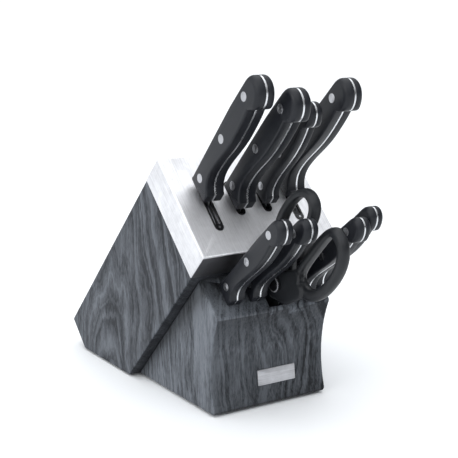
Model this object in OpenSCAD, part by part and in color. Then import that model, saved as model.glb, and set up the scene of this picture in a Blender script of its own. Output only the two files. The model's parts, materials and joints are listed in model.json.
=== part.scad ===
// Knife block with knives.
// A leaning rear block under a folded steel cap holds four kitchen knives.
// A lower front block holds four steak knives and a pair of shears.
//
// Two frames are used. The row frame has +X right, -Y to the front and +Z up.
// The slope frame sits on the cap's top rear edge: its +Z leans forward along
// the slots and its -Y runs down the slope of the cap.

/* [Block] */
// Lean of the blocks and of the slots from the vertical, in degrees
lean = 44; // [40:1:48]
// Width of the rear block
rear_w = 120; // [110:1:130]
// Depth of the rear block, down the slope of its top
rear_d = 90; // [86:1:96]
// Length of the rear block along the lean, cap included
body_len = 226; // [222:1:240]
// Length of the face under the rear face, where the block turns down to its base
heel_len = 30.5; // [26:0.5:34]
// Width of the front block
front_w = 103; // [100:1:108]
// Length of the front block's top, down the slope
front_top = 34.5; // [33:0.5:38]
// Drop from the cap's top to the front block's top, along the lean
front_drop = 30.8; // [29:0.2:34]
// Length of the whole base from front to rear
base_len = 199.6; // [190:0.2:210]
// How far the front face is hollowed between its top and bottom edges
front_hollow = 7.5; // [4:0.5:9]
// Height of the rubber feet
foot_h = 1.6; // [1:0.2:4]

/* [Cap] */
// Thickness of the steel sheet
cap_t = 1.2; // [0.8:0.1:2]
// Height of the cap's skirt
cap_side = 25.6; // [20:0.2:28]
// Width of the slot holes in the cap
slot_w = 7.6; // [7:0.1:9]
// Distance between neighbouring slots
slot_pitch = 24; // [22:0.5:26]

/* [Knives] */
// Length of the large handles
large_len = 113.5; // [105:0.5:120]
// Length of the small handles
small_len = 95; // [90:0.5:100]
// Thickness of each scale on a large handle
large_scale_t = 7; // [6:0.1:8]
// Thickness of each scale on a small handle
small_scale_t = 5.6; // [5:0.1:6]
// Thickness of a large blade and its tang
large_tang_t = 2; // [1.6:0.1:2.2]
// Thickness of a small blade and its tang
small_tang_t = 1.8; // [1.4:0.1:2]
// Diameter of the handle rivets
rivet_d = 7; // [5:0.5:7.5]

/* [Shears] */
// Place of the shears' middle plane from the block's middle
shears_x = 4.5; // [3:0.5:6]
// Height of the pivot above the front block's top, along the lean
pivot_out = 16; // [14:0.5:20]
// Length of the shear blades below the pivot
shears_blade_len = 98; // [85:1:100]
// Thickness of the finger rings
ring_t = 9; // [8:0.5:10]

/* [Hidden] */
$fn = 48;

// Gap round a piece that is pressed into another
fit_gap = 0.05;

// Row-frame place of the rear bottom corner: it centres the whole outline on the origin
base_rear_y = 129.35;
base_front_y = base_rear_y - base_len;

// Place of the slope frame
top_y = base_rear_y + heel_len * cos(lean) - body_len * sin(lean);
top_z = foot_h + heel_len * sin(lean) + body_len * cos(lean);

// Row-frame (y, z) of a point s down the slope and h out along the lean
function at(s, h) = [
    top_y - s * cos(lean) - h * sin(lean),
    top_z - s * sin(lean) + h * cos(lean)
];

// Row-frame points of the profiles
seam_foot = at(rear_d, -(top_z - rear_d * sin(lean) - foot_h) / cos(lean));
front_edge_s = rear_d + front_top;
front_edge = at(front_edge_s, -front_drop);
front_foot = [base_front_y, foot_h];

// Points of a cubic curve from a to d, without its last point
function bend(a, b, c, d, n) = [
    for (i = [0:n - 1])
        let (t = i / n, u = 1 - t)
        u * u * u * a + 3 * u * u * t * b + 3 * u * t * t * c + t * t * t * d
];

// The hollow of the front face as an arc from its top edge to its foot
face_chord = front_foot - front_edge;
face_len = norm(face_chord);
face_r = (face_len * face_len / 4 + front_hollow * front_hollow) / (2 * front_hollow);
face_side = [-face_chord[1], face_chord[0]] / face_len;
face_centre = (front_edge + front_foot) / 2 - face_side * (face_r - front_hollow);
face_half = asin(face_len / 2 / face_r);
face_start = atan2(front_edge[1] - face_centre[1], front_edge[0] - face_centre[0]);
function on_face(t) = let (a = face_start - 2 * face_half * t)
    face_centre + face_r * [cos(a), sin(a)];

// Slots in the cap: x, start and end down the slope, whether the slot sharpens
SLOTS = [
    [-1.5 * slot_pitch, 18.5, 69.4, true],
    [-0.5 * slot_pitch, 27, 58.4, false],
    [0.5 * slot_pitch, 27, 58.4, false],
    [1.5 * slot_pitch, 18.5, 69.4, true]
];
sharpening_slots = [for (slot = SLOTS) if (slot[3]) slot];
liner_depth = 28;
liner_lip = 0.4;
liner_wall = 1.6;
sharpen_channel = 4.8;
plain_channel = 4.4;
pin_r = 0.9;
pin_len = 12.5;
pin_inset = 3;
pin_land = 4;

// Handles: length, then depths at heel, neck, swell, waist and hook
LARGE = [large_len, 22.6, 14.3, 18.5, 16.8, 22.2];
SMALL = [small_len, 17, 12, 14.8, 12.4, 16.2];

// Knives: name, large handle, blade style, blade length, blade depth,
// x, slope of the spine, seat height, extra lean to the front in degrees
KNIVES = [
    ["chef_knife", true, "chef", 204, 37, -1.5 * slot_pitch, 24.4, 5, -2],
    ["bread_knife", true, "bread", 186, 22.5, -0.5 * slot_pitch, 33.5, 5, 0],
    ["utility_knife", false, "point", 120, 16, 0.5 * slot_pitch, 37.5, 4, -3.5],
    ["santoku_knife", true, "santoku", 174, 35.5, 1.5 * slot_pitch, 27, 4.5, 0],
    ["steak_knife_1", false, "point", 105, 15, -32, 97.8, -front_drop, 4],
    ["steak_knife_2", false, "point", 105, 15, -12, 98.1, -front_drop, 5],
    ["steak_knife_3", false, "point", 105, 15, 31, 100.6, -front_drop, 6.5],
    ["steak_knife_4", false, "point", 105, 15, 46.5, 96.4, -front_drop, 4.2]
];
heel_gap = 0.4;

// Pockets clear a blade by these amounts at its flats, spine, belly and tip
flat_clear = 0.8;
spine_clear = 1.2;
belly_clear = 2.2;
tip_clear = 3;

// Rivets: shank, depth of the head and its distance from the spine
shank_r = 2;
head_t = 2.2;
rivet_gap = 0.02;
rivet_steps = [0.085, 0.465, 0.845];
large_rivet_in = 7.8;
small_rivet_in = 5.8;

// Shears: well in the front block, pivot in the slope frame
well_left = shears_x - 8.5;
well_right = shears_x + 8.5;
well_front_s = rear_d + front_top - 2.6;
well_rear_s = well_front_s - 26;
well_depth = 88;
pivot_s = rear_d + front_top - 12.6;
pivot_h = pivot_out - front_drop;
play = 0.15;
shear_t = 2.2;
tang_len = 17;
tang_w = 8;
hub_r = 8.5;
hub_t = 6;
heel_r = 7;
heel_drop = 8.5;
screw_r = 2.5;
screw_gap = 0.05;
screw_head_r = 6.2;
screw_head_t = 2.6;
nut_r = 4.8;
nut_t = 2.2;

// A half of the shears: outer loop, inner loop, then the stem's end, the web's knee
// and the web's end as [y, z, radius]. A loop is [middle y, middle z, reach inward,
// reach outward, half height, squareness of its inward side].
REAR_HALF = [
    [22, 47.5, 16, 17.5, 30, 2.4], [22.5, 50, 9, 10, 20.5, 2.4],
    [15, 25, 6], [9, 0, 5], [13, 17, 5]
];
FRONT_HALF = [
    [16, 49, 13.5, 22, 35, 3], [16.5, 50, 7, 13.5, 26, 4.5],
    [9.5, 22, 6], [12.5, 1, 6], [18, 17.5, 6]
];

// Dowels between the blocks, as [x, height along the lean]
dowel_r = 4;
dowel_len = 26;
DOWELS = [for (x = [-21.5, 21.5], h = [-60, -112]) [x, h]];

// Feet, as [x, y]
foot_r = 6;
front_foot_in = 11;
rear_foot_in = 13;
FEET = concat(
    [for (e = [-1, 1]) [e * (front_w / 2 - front_foot_in), base_front_y + 14]],
    [for (e = [-1, 1]) [e * (rear_w / 2 - rear_foot_in), base_rear_y - rear_foot_in]]
);

// Label plate: size, and how far down the front face its edges touch
plate_x = 6.8;
plate_w = 34;
plate_t = 0.8;
plate_span = [0.645, 0.8];

PIECES = ["blade", "scale_left", "scale_right", "rivets"];

wood = [0.3, 0.31, 0.33];
steel = [0.8, 0.81, 0.83];
black = [0.1, 0.1, 0.11];

// ---- Frames -------------------------------------------------------------

// Extrudes a (y, z) outline by w across the middle of the frame
module across(w) {
    rotate([90, 0, 90])
        translate([0, 0, -w / 2])
            linear_extrude(w) children();
}

module slope_frame() {
    translate([0, top_y, top_z]) rotate([lean, 0, 0]) children();
}

// A knife's own frame: on its spine at the handle's lower end, +Z to the butt.
// A steak knife that leans forward is lifted until its heel clears the wood.
module knife_frame(k) {
    lift = k[7] < 0 ? heel_gap + SMALL[1] * sin(k[8]) : 0;
    slope_frame()
        translate([k[5], -k[6], k[7] + lift])
            rotate([k[8], 0, 0]) children();
}

// The shears' frame: on the pivot, +Z to the finger rings, -Y to the front
module shears_frame() {
    slope_frame() translate([shears_x, -pivot_s, pivot_h]) children();
}

// ---- Block --------------------------------------------------------------

function tang_t(k) = k[1] ? large_tang_t : small_tang_t;
function scale_t(k) = k[1] ? large_scale_t : small_scale_t;

// A slot's outline, `inset` inside the hole in the cap
module slot_shape(slot, inset) {
    length = slot[2] - slot[1] - 2 * inset;
    r = slot_w / 2 - inset;
    translate([slot[0], -(slot[1] + slot[2]) / 2]) {
        square([2 * r, length - 2 * r], center = true);
        for (e = [-1, 1])
            translate([0, e * (length / 2 - r)]) circle(r);
    }
}

// Depths between which the foot of a pocket lies, so that the pocket of a
// pointed blade stays inside a block with a slanted base
function pocket_foot(style, depth) =
    style == "chef" ? [-2, 0.35 * depth] :
    style == "point" ? [0.35 * depth - 3.4, depth] : [-2, depth];

module blade_pocket(k) {
    depth = k[4] + belly_clear;
    end = -k[3] - tip_clear;
    foot = pocket_foot(k[2], depth);
    mouth = 14;
    knife_frame(k)
        across(tang_t(k) + 2 * flat_clear)
            polygon([
                [spine_clear, mouth], [spine_clear, -0.6 * k[3]], [-foot[0], end],
                [-foot[1], end], [-depth, -0.8 * k[3]], [-depth, mouth]
            ]);
}

// Dowels or their bores, lying square to the seam between the blocks
module dowels(r, length) {
    slope_frame()
        for (d = DOWELS)
            translate([d[0], -rear_d, d[1]])
                rotate([90, 0, 0]) cylinder(r = r, h = length, center = true);
}

module dowel_bores() {
    dowels(dowel_r + fit_gap, dowel_len + 1);
}

module rear_block() {
    inset = cap_t + 0.1;
    color(wood)
        difference() {
            union() {
                across(rear_w)
                    polygon([
                        at(0, -cap_side), at(0, -body_len), [base_rear_y, foot_h],
                        seam_foot, at(rear_d, -cap_side)
                    ]);
                across(rear_w - 2 * inset)
                    polygon([
                        at(inset, -inset), at(inset, -cap_side - 1),
                        at(rear_d - inset, -cap_side - 1), at(rear_d - inset, -inset)
                    ]);
            }
            for (i = [0:3]) blade_pocket(KNIVES[i]);
            slope_frame()
                for (slot = SLOTS)
                    translate([0, 0, -liner_depth - fit_gap])
                        linear_extrude(liner_depth) slot_shape(slot, 0);
            dowel_bores();
        }
}

// The front block is glued up from a left and a right slab and, between them,
// a core in three pieces that leave the shears' well open.
module front_slab(x0, x1) {
    steps = 16;
    translate([(x0 + x1) / 2, 0, 0])
        across(x1 - x0)
            polygon(concat(
                [seam_foot, at(rear_d, -front_drop)],
                [for (i = [0:steps]) on_face(i / steps)]
            ));
}

module front_block_side(x0, x1, knives) {
    color(wood)
        difference() {
            front_slab(x0, x1);
            for (k = knives) blade_pocket(k);
            dowel_bores();
        }
}

// The part of the core between two slopes and below a height along the lean
module front_block_core(s0, s1, top) {
    color(wood)
        intersection() {
            front_slab(well_left, well_right);
            slope_frame()
                translate([-rear_w, -s1, top - body_len])
                    cube([2 * rear_w, s1 - s0, body_len]);
        }
}

module joining_dowels() {
    color([0.75, 0.62, 0.42]) dowels(dowel_r, dowel_len);
}

module rubber_feet() {
    color(black)
        for (f = FEET)
            translate([f[0], f[1], 0]) cylinder(r = foot_r, h = foot_h);
}

// A blank plate that bridges the hollow low on the front face
module label_plate() {
    high = on_face(plate_span[0]);
    low = on_face(plate_span[1]);
    tilt = atan2(high[0] - low[0], high[1] - low[1]);
    color(steel)
        translate([plate_x, low[0], low[1]])
            rotate([-tilt, 0, 0])
                translate([-plate_w / 2, -plate_t - rivet_gap, 0])
                    cube([plate_w, plate_t, norm(high - low)]);
}

// A folded sheet whose corners are open seams
module steel_cap() {
    proud = 0.3;
    seam = 0.5;
    w = rear_w + 2 * proud;
    d = rear_d + 2 * proud;
    color(steel)
        slope_frame()
            difference() {
                translate([-w / 2, -rear_d - proud, -cap_side]) cube([w, d, cap_side]);
                translate([-w / 2 + cap_t, -rear_d - proud + cap_t, -cap_side - 1])
                    cube([w - 2 * cap_t, d - 2 * cap_t, cap_side + 1 - cap_t]);
                for (x = [-w / 2, w / 2], y = [-rear_d - proud, proud])
                    translate([x - seam, y - seam, -cap_side - 1])
                        cube([2 * seam, 2 * seam, cap_side - cap_t]);
                for (slot = SLOTS)
                    translate([0, 0, -cap_t - 1])
                        linear_extrude(cap_t + 2) slot_shape(slot, 0);
            }
}

// The open channel of a liner: width, start and end down the slope
function channel(slot) = [
    slot[3] ? sharpen_channel : plain_channel,
    slot[1] + liner_wall,
    slot[2] - liner_wall - (slot[3] ? pin_land : 0)
];

module slot_liner(slot) {
    c = channel(slot);
    color(black)
        slope_frame()
            difference() {
                translate([0, 0, -liner_depth])
                    linear_extrude(liner_depth + liner_lip) slot_shape(slot, fit_gap);
                translate([slot[0] - c[0] / 2, -c[2], -liner_depth - 1])
                    cube([c[0], c[2] - c[1], liner_depth + 3]);
                if (slot[3])
                    translate([slot[0], -slot[2] + pin_inset, -pin_len])
                        cylinder(r = pin_r + rivet_gap, h = 2 * pin_len);
            }
}

// Two ribbed strips that face each other across a liner's channel
module sharpener(slot) {
    c = channel(slot);
    strip_t = 0.6;
    rib_t = 0.4;
    rib_pitch = 2.4;
    strip_h = 13.4;
    length = c[2] - c[1] - 2;
    color(steel)
        slope_frame()
            translate([slot[0], -(c[1] + c[2]) / 2, -8])
                for (side = [-1, 1])
                    translate([side * (c[0] - strip_t) / 2, 0, 0]) {
                        cube([strip_t, length, strip_h], center = true);
                        for (y = [-length / 2 + rib_pitch / 2:rib_pitch:length / 2])
                            translate([-side * rib_t, y, 0])
                                cube([strip_t, rib_pitch / 2, strip_h], center = true);
                    }
}

module sharpener_pins() {
    color(steel)
        slope_frame()
            for (slot = sharpening_slots)
                translate([slot[0], -slot[2] + pin_inset, -pin_len])
                    cylinder(r = pin_r, h = pin_len + liner_lip + 0.2);
}

// ---- Knives -------------------------------------------------------------

// Handle outline as (-depth, height) points. The spine lies on the axis, the
// belly swells from a neck to a waist, and the butt ends in a round hook.
function handle_outline(h) = let (L = h[0])
    concat(
        [[0, 0.015 * L], [-0.8, 0], [-h[1], 0]],
        bend([-h[1], 0.064 * L], [-0.8 * h[1], 0.088 * L],
             [-h[2], 0.132 * L], [-h[2], 0.211 * L], 7),
        bend([-h[2], 0.211 * L], [-h[2], 0.335 * L],
             [-h[3], 0.44 * L], [-h[3], 0.58 * L], 8),
        bend([-h[3], 0.58 * L], [-h[3], 0.687 * L],
             [-h[4] - 1, 0.758 * L], [-h[4], 0.81 * L], 5),
        bend([-h[4], 0.81 * L], [-0.82 * h[5], 0.828 * L],
             [-h[5], 0.848 * L], [-h[5], 0.881 * L], 6),
        bend([-h[5], 0.881 * L], [-h[5], 0.943 * L],
             [-0.74 * h[5], L], [-0.405 * h[5], L], 9),
        bend([-0.405 * h[5], L], [-0.158 * h[5], L], [0, 0.97 * L], [0, 0.916 * L], 8),
        [[0, 0.916 * L]]
    );

// Blade outlines of length L and depth d, from the spine round the tip to the
// heel, where they run up into the tang
function chef_outline(L, d) = concat(
    bend([0, -0.55 * L], [0, -0.8 * L], [-2, -0.95 * L], [-6, -L], 8),
    bend([-6, -L], [-0.55 * d, -0.85 * L], [-0.93 * d, -0.6 * L], [-d, -0.3 * L], 12),
    [[-d, -0.3 * L], [-d, -9], [-0.6 * d, -8], [-17, 1]]
);

function santoku_outline(L, d) = concat(
    bend([0, -0.72 * L], [0, -0.9 * L], [-0.5 * d, -0.97 * L], [-0.78 * d, -L], 9),
    bend([-0.78 * d, -L], [-0.98 * d, -0.92 * L], [-d, -0.7 * L], [-d, -0.5 * L], 8),
    [[-d, -0.5 * L], [-d, -9], [-0.6 * d, -8], [-17, 1]]
);

// The bread knife's belly is a row of teeth
function bread_outline(L, d) = let (n = 20, top = -14, step = (0.9 * L + top) / n)
    concat(
        bend([0, -0.86 * L], [0, -0.94 * L], [-0.3 * d, -L], [-0.55 * d, -L], 7),
        bend([-0.55 * d, -L], [-0.85 * d, -L], [-d, -0.96 * L], [-d, -0.9 * L], 7),
        [for (i = [0:n - 1], e = [0, 0.5]) [-d + 2.4 * e, -0.9 * L + (i + e) * step]],
        [[-d, top], [-d, -9], [-17, 1]]
    );

function point_outline(L, d) = concat(
    bend([0, -0.5 * L], [0, -0.75 * L], [-0.1 * d, -0.93 * L], [-0.35 * d, -L], 8),
    bend([-0.35 * d, -L], [-0.8 * d, -0.85 * L], [-d, -0.7 * L], [-d, -0.5 * L], 10),
    [[-d, -0.5 * L], [-d, -8], [-11, 1]]
);

function blade_outline(style, L, d) = concat(
    [[0, 2]],
    style == "chef" ? chef_outline(L, d) :
    style == "santoku" ? santoku_outline(L, d) :
    style == "bread" ? bread_outline(L, d) : point_outline(L, d)
);

function handle(k) = k[1] ? LARGE : SMALL;
function rivet_in(k) = k[1] ? large_rivet_in : small_rivet_in;
function rivet_r(k) = rivet_d / 2 - (k[1] ? 0 : 0.3);

// A rod of radius r from x0 to x1 at each rivet
module rivet_rods(k, r, x0, x1) {
    for (step = rivet_steps)
        translate([x0, -rivet_in(k), step * handle(k)[0]])
            rotate([0, 90, 0]) cylinder(r = r, h = x1 - x0);
}

module knife_blade(k) {
    color(steel)
        knife_frame(k)
            difference() {
                union() {
                    across(tang_t(k)) polygon(handle_outline(handle(k)));
                    across(tang_t(k)) polygon(blade_outline(k[2], k[3], k[4]));
                }
                rivet_rods(k, shank_r + rivet_gap, -5, 5);
            }
}

// The scale on the side -1 (left) or 1 (right) of the tang
module knife_scale(k, side) {
    t = scale_t(k);
    face = tang_t(k) / 2 + t;
    color(black)
        knife_frame(k)
            mirror([side < 0 ? 1 : 0, 0, 0])
                difference() {
                    translate([face - t / 2, 0, 0]) across(t) polygon(handle_outline(handle(k)));
                    rivet_rods(k, shank_r + rivet_gap, 0, face);
                    rivet_rods(k, rivet_r(k) + rivet_gap, face - head_t, face + 1);
                }
}

module knife_rivets(k) {
    face = tang_t(k) / 2 + scale_t(k);
    color(steel)
        knife_frame(k) {
            rivet_rods(k, shank_r, -face + 1, face - 1);
            rivet_rods(k, rivet_r(k), -face, -face + head_t - rivet_gap);
            rivet_rods(k, rivet_r(k), face - head_t + rivet_gap, face);
        }
}

// ---- Shears -------------------------------------------------------------
// A half is drawn with its ring towards +Y and all but its ring on the +X side
// of the middle plane. A half turn about Z makes it the front half.

module half_frame(front) {
    shears_frame() rotate([0, 0, front ? 180 : 0]) children();
}

// Extrudes a (y, z) outline from x0 to x1
module between(x0, x1) {
    translate([(x0 + x1) / 2, 0, 0]) across(x1 - x0) children();
}

// A rounded loop whose inward side may be squarer than its outward side
function ring_loop(l) = let (n = 60, outward_squareness = 2.2) [
    for (i = [0:n - 1])
        let (a = 360 * i / n, c = cos(a), s = sin(a),
             e = c < 0 ? l[5] : outward_squareness,
             p = pow(pow(abs(c), e) + pow(abs(s), e), -1 / e))
        [l[0] + (c < 0 ? l[2] : l[3]) * c * p, l[1] + l[4] * s * p]
];

// A bar of half width w0 at the pivot and w1 at the point p
module bar(p, w0, w1) {
    n = [p[1], -p[0]] / norm(p);
    polygon([w0 * n, p + w1 * n, p - w1 * n, -w0 * n]);
}

function stem_end(half) = [half[2][0], half[2][1]];

// The hub, tang and shoulders of a blade, `grow` larger all round
module tang_shape(half, grow) {
    u = stem_end(half) / norm(stem_end(half));
    low = heel_drop + heel_r + 1;
    circle(tang_w - 0.5 + grow);
    bar((tang_len + grow) * u, tang_w / 2 + grow, tang_w / 2 + grow);
    polygon([
        [-7.4 - grow, 0], [-8 - grow, -low], [3.4 + grow, -low], [3.4 + grow, -14],
        [7.4 + grow, 0]
    ]);
}

module shears_blade(half, front) {
    L = shears_blade_len;
    color(steel)
        half_frame(front)
            difference() {
                between(play / 2, play / 2 + shear_t) {
                    tang_shape(half, 0);
                    polygon([
                        [-8, -14], [-7.8, -0.35 * L], [-5.8, -0.7 * L], [-1.4, -L],
                        [0.4, -L], [2.6, -0.5 * L], [3.4, -14]
                    ]);
                }
                rotate([0, 90, 0]) cylinder(r = screw_r + screw_gap, h = 20, center = true);
            }
}

// The hub runs up into the stem and down over the blade's heel. A web runs from
// the heel out to its knee and up into the ring
module stem_shape(half) {
    stem = stem_end(half);
    knee = [half[3][0], half[3][1]];
    web = [half[4][0], half[4][1]];
    circle(hub_r);
    bar(stem, hub_r - 0.6, half[2][2] - 0.4);
    translate(stem) circle(half[2][2]);
    bar([0, -heel_drop], hub_r - 0.6, heel_r - 0.4);
    translate([0, -heel_drop]) {
        circle(heel_r);
        bar(knee + [0, heel_drop], heel_r - 0.8, half[3][2] - 0.6);
    }
    translate(knee) {
        circle(half[3][2]);
        bar(web - knee, half[3][2] - 0.6, half[4][2] - 0.6);
    }
    translate(web) circle(half[4][2]);
}

module shears_handle(half, front) {
    color(black)
        half_frame(front)
            difference() {
                union() {
                    between(-ring_t / 2, ring_t / 2) polygon(ring_loop(half[0]));
                    between(play, hub_t) stem_shape(half);
                }
                between(-ring_t, ring_t) polygon(ring_loop(half[1]));
                between(-1, play / 2 + shear_t + fit_gap) tang_shape(half, fit_gap);
                rotate([0, 90, 0]) cylinder(r = screw_r + screw_gap, h = 20, center = true);
            }
}

// The screw's head covers the front half, and its nut the rear half
module shears_pivot_screw() {
    head_x = -hub_t - 0.1 - screw_head_t;
    color(steel)
        shears_frame()
            translate([head_x, 0, 0])
                rotate([0, 90, 0]) {
                    cylinder(r = screw_head_r, h = screw_head_t);
                    cylinder(r = screw_r, h = hub_t + nut_t - head_x);
                }
}

module shears_pivot_nut() {
    color(steel)
        shears_frame()
            translate([hub_t, 0, 0])
                rotate([0, 90, 0])
                    difference() {
                        cylinder(r = nut_r, h = nut_t);
                        translate([0, 0, -1]) cylinder(r = screw_r + rivet_gap, h = nut_t + 2);
                    }
}

// ---- Drawing ------------------------------------------------------------

rear_block();
front_block_side(-front_w / 2, well_left, [KNIVES[4], KNIVES[5]]);  // front_block_left
front_block_side(well_right, front_w / 2, [KNIVES[6], KNIVES[7]]);  // front_block_right
front_block_core(rear_d - 1, well_rear_s, 0);  // front_block_core_rear
front_block_core(well_front_s, 2 * rear_d, 0);  // front_block_core_front
front_block_core(well_rear_s, well_front_s, -front_drop - well_depth);  // front_block_core_floor
joining_dowels();
rubber_feet();
label_plate();
steel_cap();
for (i = [1:len(SLOTS)])
    slot_liner(SLOTS[i - 1]);
sharpener(sharpening_slots[0]);  // sharpener_left
sharpener(sharpening_slots[1]);  // sharpener_right
sharpener_pins();
for (k = KNIVES) {
    knife_blade(k);
    knife_scale(k, -1);
    knife_scale(k, 1);
    knife_rivets(k);
}
shears_blade(REAR_HALF, false);  // shears_rear_blade
shears_handle(REAR_HALF, false);  // shears_rear_handle
shears_blade(FRONT_HALF, true);  // shears_front_blade
shears_handle(FRONT_HALF, true);  // shears_front_handle
shears_pivot_screw();
shears_pivot_nut();
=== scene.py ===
"""Looks of a knife block with knives and shears, built around its CAD frame.

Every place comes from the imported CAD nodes: their side outlines, their boxes
and the joints' axes. Lengths are in metres and named values in millimetres
are turned into metres by MM.
"""
import json
import math

import bmesh
import bpy
from mathutils import Matrix, Vector


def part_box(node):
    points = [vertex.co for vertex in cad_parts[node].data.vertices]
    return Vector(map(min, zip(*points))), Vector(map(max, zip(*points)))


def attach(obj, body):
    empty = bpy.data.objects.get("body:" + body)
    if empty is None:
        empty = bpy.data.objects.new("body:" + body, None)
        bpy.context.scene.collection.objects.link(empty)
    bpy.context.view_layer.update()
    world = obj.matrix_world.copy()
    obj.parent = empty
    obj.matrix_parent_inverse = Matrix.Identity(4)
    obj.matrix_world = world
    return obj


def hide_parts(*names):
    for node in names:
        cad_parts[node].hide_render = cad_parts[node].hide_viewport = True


MM = 0.001
WELD = 1e-6  # vertices closer than this are one
SOFT_EDGE = math.radians(35)  # a mesh's edges sharper than this stay sharp
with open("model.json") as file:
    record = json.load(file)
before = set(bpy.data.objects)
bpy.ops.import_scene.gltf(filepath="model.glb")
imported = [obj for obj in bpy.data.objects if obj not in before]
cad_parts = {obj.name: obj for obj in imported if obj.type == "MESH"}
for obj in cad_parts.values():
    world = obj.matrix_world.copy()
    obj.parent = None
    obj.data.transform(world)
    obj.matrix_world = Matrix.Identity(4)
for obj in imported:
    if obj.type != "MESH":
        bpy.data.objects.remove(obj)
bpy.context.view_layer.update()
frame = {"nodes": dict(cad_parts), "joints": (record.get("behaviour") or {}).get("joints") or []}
JOINTS = {joint["name"]: joint for joint in frame["joints"]}


# ---- Frames read from the CAD ------------------------------------------------

def lean_frame(joint_name):
    """Rotation whose Z runs out along a slide joint and whose X stays the frame's X."""
    out = Vector(JOINTS[joint_name]["axis"]).normalized()
    return Matrix.Rotation(math.atan2(-out.y, out.z), 4, "X")


def in_frame(node, turn):
    """Lowest and highest corner of a CAD node in a turned frame."""
    back = turn.inverted()
    points = [back @ v.co for v in frame["nodes"][node].data.vertices]
    low = Vector([min(p[i] for p in points) for i in range(3)])
    high = Vector([max(p[i] for p in points) for i in range(3)])
    return low, high


SLOPE = lean_frame("shears_slide")
DOWN_SLOPE = SLOPE @ Vector((0, -1, 0))
OUT_OF_SLOPE = SLOPE @ Vector((0, 0, 1))


def knife_frame(name):
    """On the spine at the handle's lower end: Z to the butt, -Y to the belly."""
    turn = lean_frame(name + "_slide")
    low, high = in_frame(name + "_scale_left", turn)
    blade_low, blade_high = in_frame(name + "_blade", turn)
    middle = (blade_low.x + blade_high.x) / 2
    return turn @ Matrix.Translation((middle, high.y, low.z))


# ---- Outlines ----------------------------------------------------------------

def side_outline(node, place):
    """The outer (y, z) loop of a CAD node's flat face furthest towards +X."""
    mesh = bmesh.new()
    mesh.from_mesh(frame["nodes"][node].data)
    mesh.transform(place.inverted())
    bmesh.ops.remove_doubles(mesh, verts=mesh.verts, dist=WELD)
    mesh.normal_update()
    top = max(v.co.x for v in mesh.verts) - 10 * WELD
    flat = [f for f in mesh.faces if all(v.co.x > top for v in f.verts)]
    inside = set(flat)
    rim = {}
    for face in flat:
        for loop in face.loops:
            if not any(f in inside for f in loop.edge.link_faces if f is not face):
                rim[loop.vert.index] = loop.link_loop_next.vert.index
    mesh.verts.ensure_lookup_table()
    loops = []
    while rim:
        start, step = rim.popitem()
        chain = [start]
        while step != start:
            chain.append(step)
            step = rim.pop(step)
        loops.append([Vector((mesh.verts[i].co.y, mesh.verts[i].co.z)) for i in chain])
    mesh.free()

    def reach(points):
        return max(p.y for p in points) - min(p.y for p in points)

    return simplified(max(loops, key=reach))


def neighbours(points):
    """Each point of a closed loop, between the one before it and the one after it."""
    return zip(points[-1:] + points[:-1], points, points[1:] + points[:1])


def simplified(points):
    """The loop without the points that lie on a straight run."""
    least_turn = 1e-3
    kept = []
    for before, here, after in neighbours(points):
        a, b = here - before, after - here
        if a.length > WELD and abs(a.normalized().cross(b.normalized())) > least_turn:
            kept.append(here)
    return kept


def smoothed(points, corner=math.radians(28), steps=4, least_step=0.5 * MM):
    """A curve through the points that keeps their corners, straight between two of them."""
    count = len(points)

    def turn(i):
        a = points[i] - points[i - 1]
        b = points[(i + 1) % count] - points[i]
        return abs(a.angle(b))

    sharp = [turn(i) > corner for i in range(count)]
    result = []
    for i in range(count):
        p1, p2 = points[i], points[(i + 1) % count]
        p0 = p1 if sharp[i] else points[i - 1]
        p3 = p2 if sharp[(i + 1) % count] else points[(i + 2) % count]
        span = (p2 - p1).length
        straight = sharp[i] and sharp[(i + 1) % count]
        pieces = 1 if straight else max(2, min(steps, int(span / least_step)))
        leave = (p2 - p0) * (span / (span + (p1 - p0).length))
        arrive = (p3 - p1) * (span / (span + (p3 - p2).length))
        for k in range(pieces):
            t = k / pieces
            ends = p1 * (2 * t**3 - 3 * t**2 + 1) + p2 * (3 * t**2 - 2 * t**3)
            result.append(ends + leave * (t**3 - 2 * t**2 + t) + arrive * (t**3 - t**2))
    return result


def inset(points, distance):
    """The loop moved inwards by a distance, one for all or one each, with mitred corners
    no longer than twice the distance."""
    moved = []
    each = distance if isinstance(distance, list) else [distance] * len(points)
    for (before, here, after), step in zip(neighbours(points), each):
        a, b = (here - before).normalized(), (after - here).normalized()
        normal = Vector((-a.y - b.y, a.x + b.x)).normalized()
        lean = max(0.5, normal.dot(Vector((-a.y, a.x))))
        moved.append(here + normal * (step / lean))
    return moved


def arc(centre, radius, first, sweep, steps):
    """Points along an arc, with both of its ends."""
    angles = [first + sweep * k / steps for k in range(steps + 1)]
    return [centre + radius * Vector((math.cos(t), math.sin(t))) for t in angles]


def filleted(points, radius, steps=6):
    """The loop with its corners rounded; radius is a number or a function of the corner.
    Points of a curve that runs into a corner give way to the rounding."""
    nearly_straight = math.radians(160)
    rounds = {}
    for i, (before, here, after) in enumerate(neighbours(points)):
        r = radius(here) if callable(radius) else radius
        opening = (before - here).angle(after - here)
        if r > 0 and opening < nearly_straight:
            rounds[i] = (r, r / math.tan(opening / 2))
    kept = []
    for i, here in enumerate(points):
        near = any((here - points[k]).length < back for k, (_, back) in rounds.items())
        if i in rounds or not near:
            kept.append(i)
    result = []
    for before, i, after in neighbours(kept):
        here = points[i]
        if i not in rounds:
            result.append(here)
            continue
        r, _ = rounds[i]
        a, b = (points[before] - here).normalized(), (points[after] - here).normalized()
        half = a.angle(b) / 2
        centre = here + (a + b).normalized() * (r / math.sin(half))
        start, end = here + a * (r / math.tan(half)), here + b * (r / math.tan(half))
        first = math.atan2(start.y - centre.y, start.x - centre.x)
        sweep = math.atan2(end.y - centre.y, end.x - centre.x) - first
        sweep = (sweep + math.pi) % (2 * math.pi) - math.pi
        result += arc(centre, r, first, sweep, steps)
    return result


# ---- Mesh tools --------------------------------------------------------------

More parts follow.
